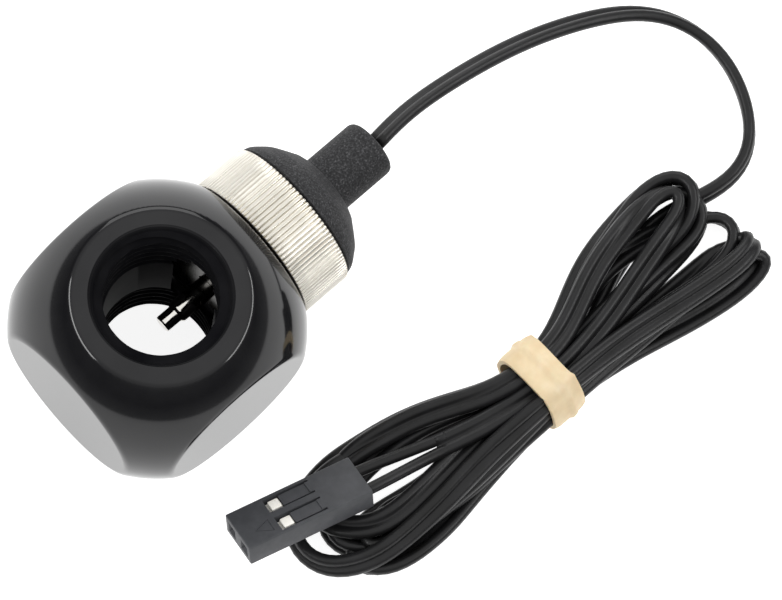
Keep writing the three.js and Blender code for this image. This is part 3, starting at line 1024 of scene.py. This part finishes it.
def make_contact(letter, side):
    """Folded sheet contact: box sleeve, spring dimple, open neck and crimp wings round the wire."""
    y = side * WAY / 2
    sleeve = box_object(f"socket_contact_{letter}", 1.6, 6.9, y - 0.68, y + 0.68, -0.6, 0.62)
    boolean(sleeve, box_object("tool", 1.0, 6.6, y - 0.5, y + 0.5, -0.42, 0.44))
    boolean(sleeve, box_object("tool", 3.6, 4.1, y - 0.5, y + 0.1, 0.3, 1))
    bevel(sleeve, 0.05, 2)
    tab = box_object("tab", 4.35, 5.5, y - 0.6, y + 0.6, 0.55, 1.12)
    bevel(tab, 0.12, 3)
    neck = box_object("neck", 6.8, 8.0, y - 0.45, y + 0.45, -0.6, -0.35)
    wings = box_object("wings", 7.9, 10.4, y - 0.62, y + 0.62, -0.62, 0.55)
    boolean(wings, box_object("tool", 7.0, 11.0, y - 0.44, y + 0.44, -0.42, 0.4))
    bevel(wings, 0.06, 2)
    join(sleeve, tab, neck, wings)
    smooth_by_angle(sleeve, 35)
    lay_connector(sleeve)
    metal = plain_metal(f"contact_plating_{letter}", (0.95, 0.92, 0.84), (1.0, 0.98, 0.93), 0.40, 0.55, 0.15)
    return finish_piece(sleeve, metal, "cable", "contact_plating", f"crimp_contact_{letter}")


def local_to_row(u, v, w):
    return tuple(Vector(HOUSING_AT) + connector_turn().to_3x3() @ Vector((u - HOUSING_LONG / 2, v, w)))


def make_wire(letter, side, start, heading):
    """One conductor, from where the flat cable splits to its crimp in the housing."""
    y = side * WAY / 2
    along = (HOUSING_LONG - 0.2, HOUSING_LONG + 2.6, CRIMP_AT)
    rear, behind, crimp = (np.array(local_to_row(u, y, 0)) for u in along)
    bend = bezier(start - 1.2 * heading, start + 1.8 * heading, behind, rear, 40)
    line = resample(np.vstack([bend, crimp]), 0.3)
    tangent = unit(np.gradient(line, axis=0))
    across = unit(np.cross(tangent, [0, 0, 1.0]))
    above = np.cross(across, tangent)
    angles = np.linspace(0, 2 * math.pi, 20, endpoint=False)
    rings = [c + WIRE_R * (np.cos(angles)[:, None] * a + np.sin(angles)[:, None] * b)
             for c, a, b in zip(shifted(line), across, above)]
    obj = solid(f"single_wire_{letter}", *tube_mesh(rings))
    return finish_piece(obj, cable_skin(), "cable", "cable_skin", f"wire_{letter}")


# ---- elastic band ----
def make_band():
    """Flat rubber band drawn round the bundle: its inside is the bundle's own outline, pulled tight."""
    strands = np.concatenate([strand_a, strand_b])
    near = strands[(strands[:, 0] > BAND[0] - 0.3) & (strands[:, 0] < BAND[1] + 0.3)
                   & (strands[:, 1] < HANK_EDGE)]
    angles = np.linspace(0, 2 * math.pi, 160, endpoint=False)
    outward = np.stack([np.cos(angles), np.sin(angles)], -1)
    reach = np.max(near[:, 1:] @ outward.T, axis=0) + CORE_R + CLEAR / 2
    for _ in range(30):
        reach = np.maximum(reach, 0.25 * np.roll(reach, 1) + 0.5 * reach + 0.25 * np.roll(reach, -1))
    for _ in range(12):
        reach = 0.25 * np.roll(reach, 1) + 0.5 * reach + 0.25 * np.roll(reach, -1)
    slope = (np.roll(reach, -1) - np.roll(reach, 1)) / (2 * (angles[1] - angles[0]))
    sideways = np.stack([-np.sin(angles), np.cos(angles)], -1)
    inner = reach[:, None] * outward + slope[:, None] * sideways
    inner[:, 1] = np.maximum(inner[:, 1], CLEAR)
    wave = 0.10 * np.sin(3 * angles + 0.6) + 0.06 * np.sin(7 * angles)

    def ring(part, outline):
        x = BAND[0] + (BAND[1] - BAND[0]) * part + wave * (0.4 + 0.6 * part)
        return np.stack([AXIS_X + x, outline[:, 0], outline[:, 1]], -1)

    rings = []
    for part in np.linspace(0, 1, 13):
        edge = 0.16 * max(0.0, abs(2 * part - 1) - 0.75) / 0.25
        ridge = 0.30 * math.exp(-((part - 0.62) / 0.07) ** 2)
        outer = inner + (BAND_THICK - edge + ridge) * outward
        outer[:, 1] = np.maximum(outer[:, 1], 0.03)
        rings.append(ring(part, outer))
    rings += [ring(part, inner) for part in np.linspace(1, 0, 5)]
    obj = solid("tan_band", np.concatenate(rings), looped_faces(len(rings), len(angles)))
    smooth_by_angle(obj, 60)
    return finish_piece(obj, band_rubber(), "cable", "band_rubber", "elastic_band")


# ---- floor and light ----
def make_floor():
    size = 1500
    floor = mesh_object("floor", [(-size, -size, 0), (size, -size, 0), (size, size, 0), (-size, size, 0)],
                        [(0, 1, 2, 3)])
    s = Surface("pale_floor", (0.58, 0.58, 0.58), 0.9, specular=0.0)
    s.shader.inputs["Emission Color"].default_value = (1, 1, 1, 1)
    s.shader.inputs["Emission Strength"].default_value = 0.88
    s.color(s.noise(3), [(0.3, (0.57, 0.57, 0.57)), (0.7, (0.59, 0.59, 0.59))])
    floor.data.materials.append(s.material)


def make_world():
    """Bright overhead, dim near the horizon, as in a studio with a large ceiling light."""
    world = bpy.data.worlds.new("studio")
    bpy.context.scene.world = world
    world.use_nodes = True
    tree = world.node_tree
    coords = tree.nodes.new("ShaderNodeTexCoord")
    split = tree.nodes.new("ShaderNodeSeparateXYZ")
    ramp = tree.nodes.new("ShaderNodeValToRGB")
    tree.links.new(coords.outputs["Generated"], split.inputs[0])
    tree.links.new(split.outputs["Z"], ramp.inputs["Fac"])
    stops = [(0.0, 0.30), (0.22, 0.10), (0.42, 0.18), (0.58, 0.62), (0.75, 0.72), (0.93, 1.0)]
    elements = ramp.color_ramp.elements
    while len(elements) < len(stops):
        elements.new(0.5)
    for element, (place, level) in zip(elements, stops):
        element.position = place
        element.color = (level, level, level, 1)
    shade = tree.nodes["Background"]
    tree.links.new(ramp.outputs["Color"], shade.inputs["Color"])
    shade.inputs["Strength"].default_value = 1.1


def area_light(name, place, size, power):
    """Soft box at this place in metres, turned towards the object."""
    data = bpy.data.lights.new(name, "AREA")
    data.shape = "RECTANGLE"
    data.size, data.size_y = size
    data.energy = power
    light = bpy.data.objects.new(name, data)
    bpy.context.scene.collection.objects.link(light)
    light.location = place
    light.rotation_euler = (Vector((0, 0, 0.01)) - Vector(place)).to_track_quat("-Z", "Y").to_euler()


# ---- assembly: camera and cable first ----
make_camera()
cable_centre, cable_width = make_cable()
strand_offset = CORE_R * cable_width / np.linalg.norm(cable_width, axis=1)[:, None]
strand_a, strand_b = cable_centre + strand_offset, cable_centre - strand_offset
cable = solid("twin_cable", *tube_mesh(sweep_twin(shifted(cable_centre), cable_width)))
finish_piece(cable, cable_skin(), "cable", "cable_skin", "cable_lead", "cable_hank", "cable_tail")

heading = cable_centre[-1] - cable_centre[-3]
heading /= np.linalg.norm(heading)
ends = sorted([strand_a[-1], strand_b[-1]], key=lambda p: -p[1])
on_cable = [make_wire("a", 1, ends[0], heading), make_wire("b", -1, ends[1], heading)]
on_cable += [make_housing(), make_contact("a", 1), make_contact("b", -1), make_band()]

make_block()
make_sensor_body()
make_probe()
make_boot()
make_ring()
make_cable_entry()
paint_inner_parts()
make_floor()
make_world()
area_light("left_softbox", (-0.38, 0.32, 0.42), (0.60, 0.10), 1.7)
area_light("back_softbox", (0.33, 0.42, 0.27), (0.45, 0.30), 1.0)
area_light("right_softbox", (0.36, -0.30, 0.42), (0.60, 0.08), 1.3)
bpy.context.scene.view_settings.view_transform = "Standard"
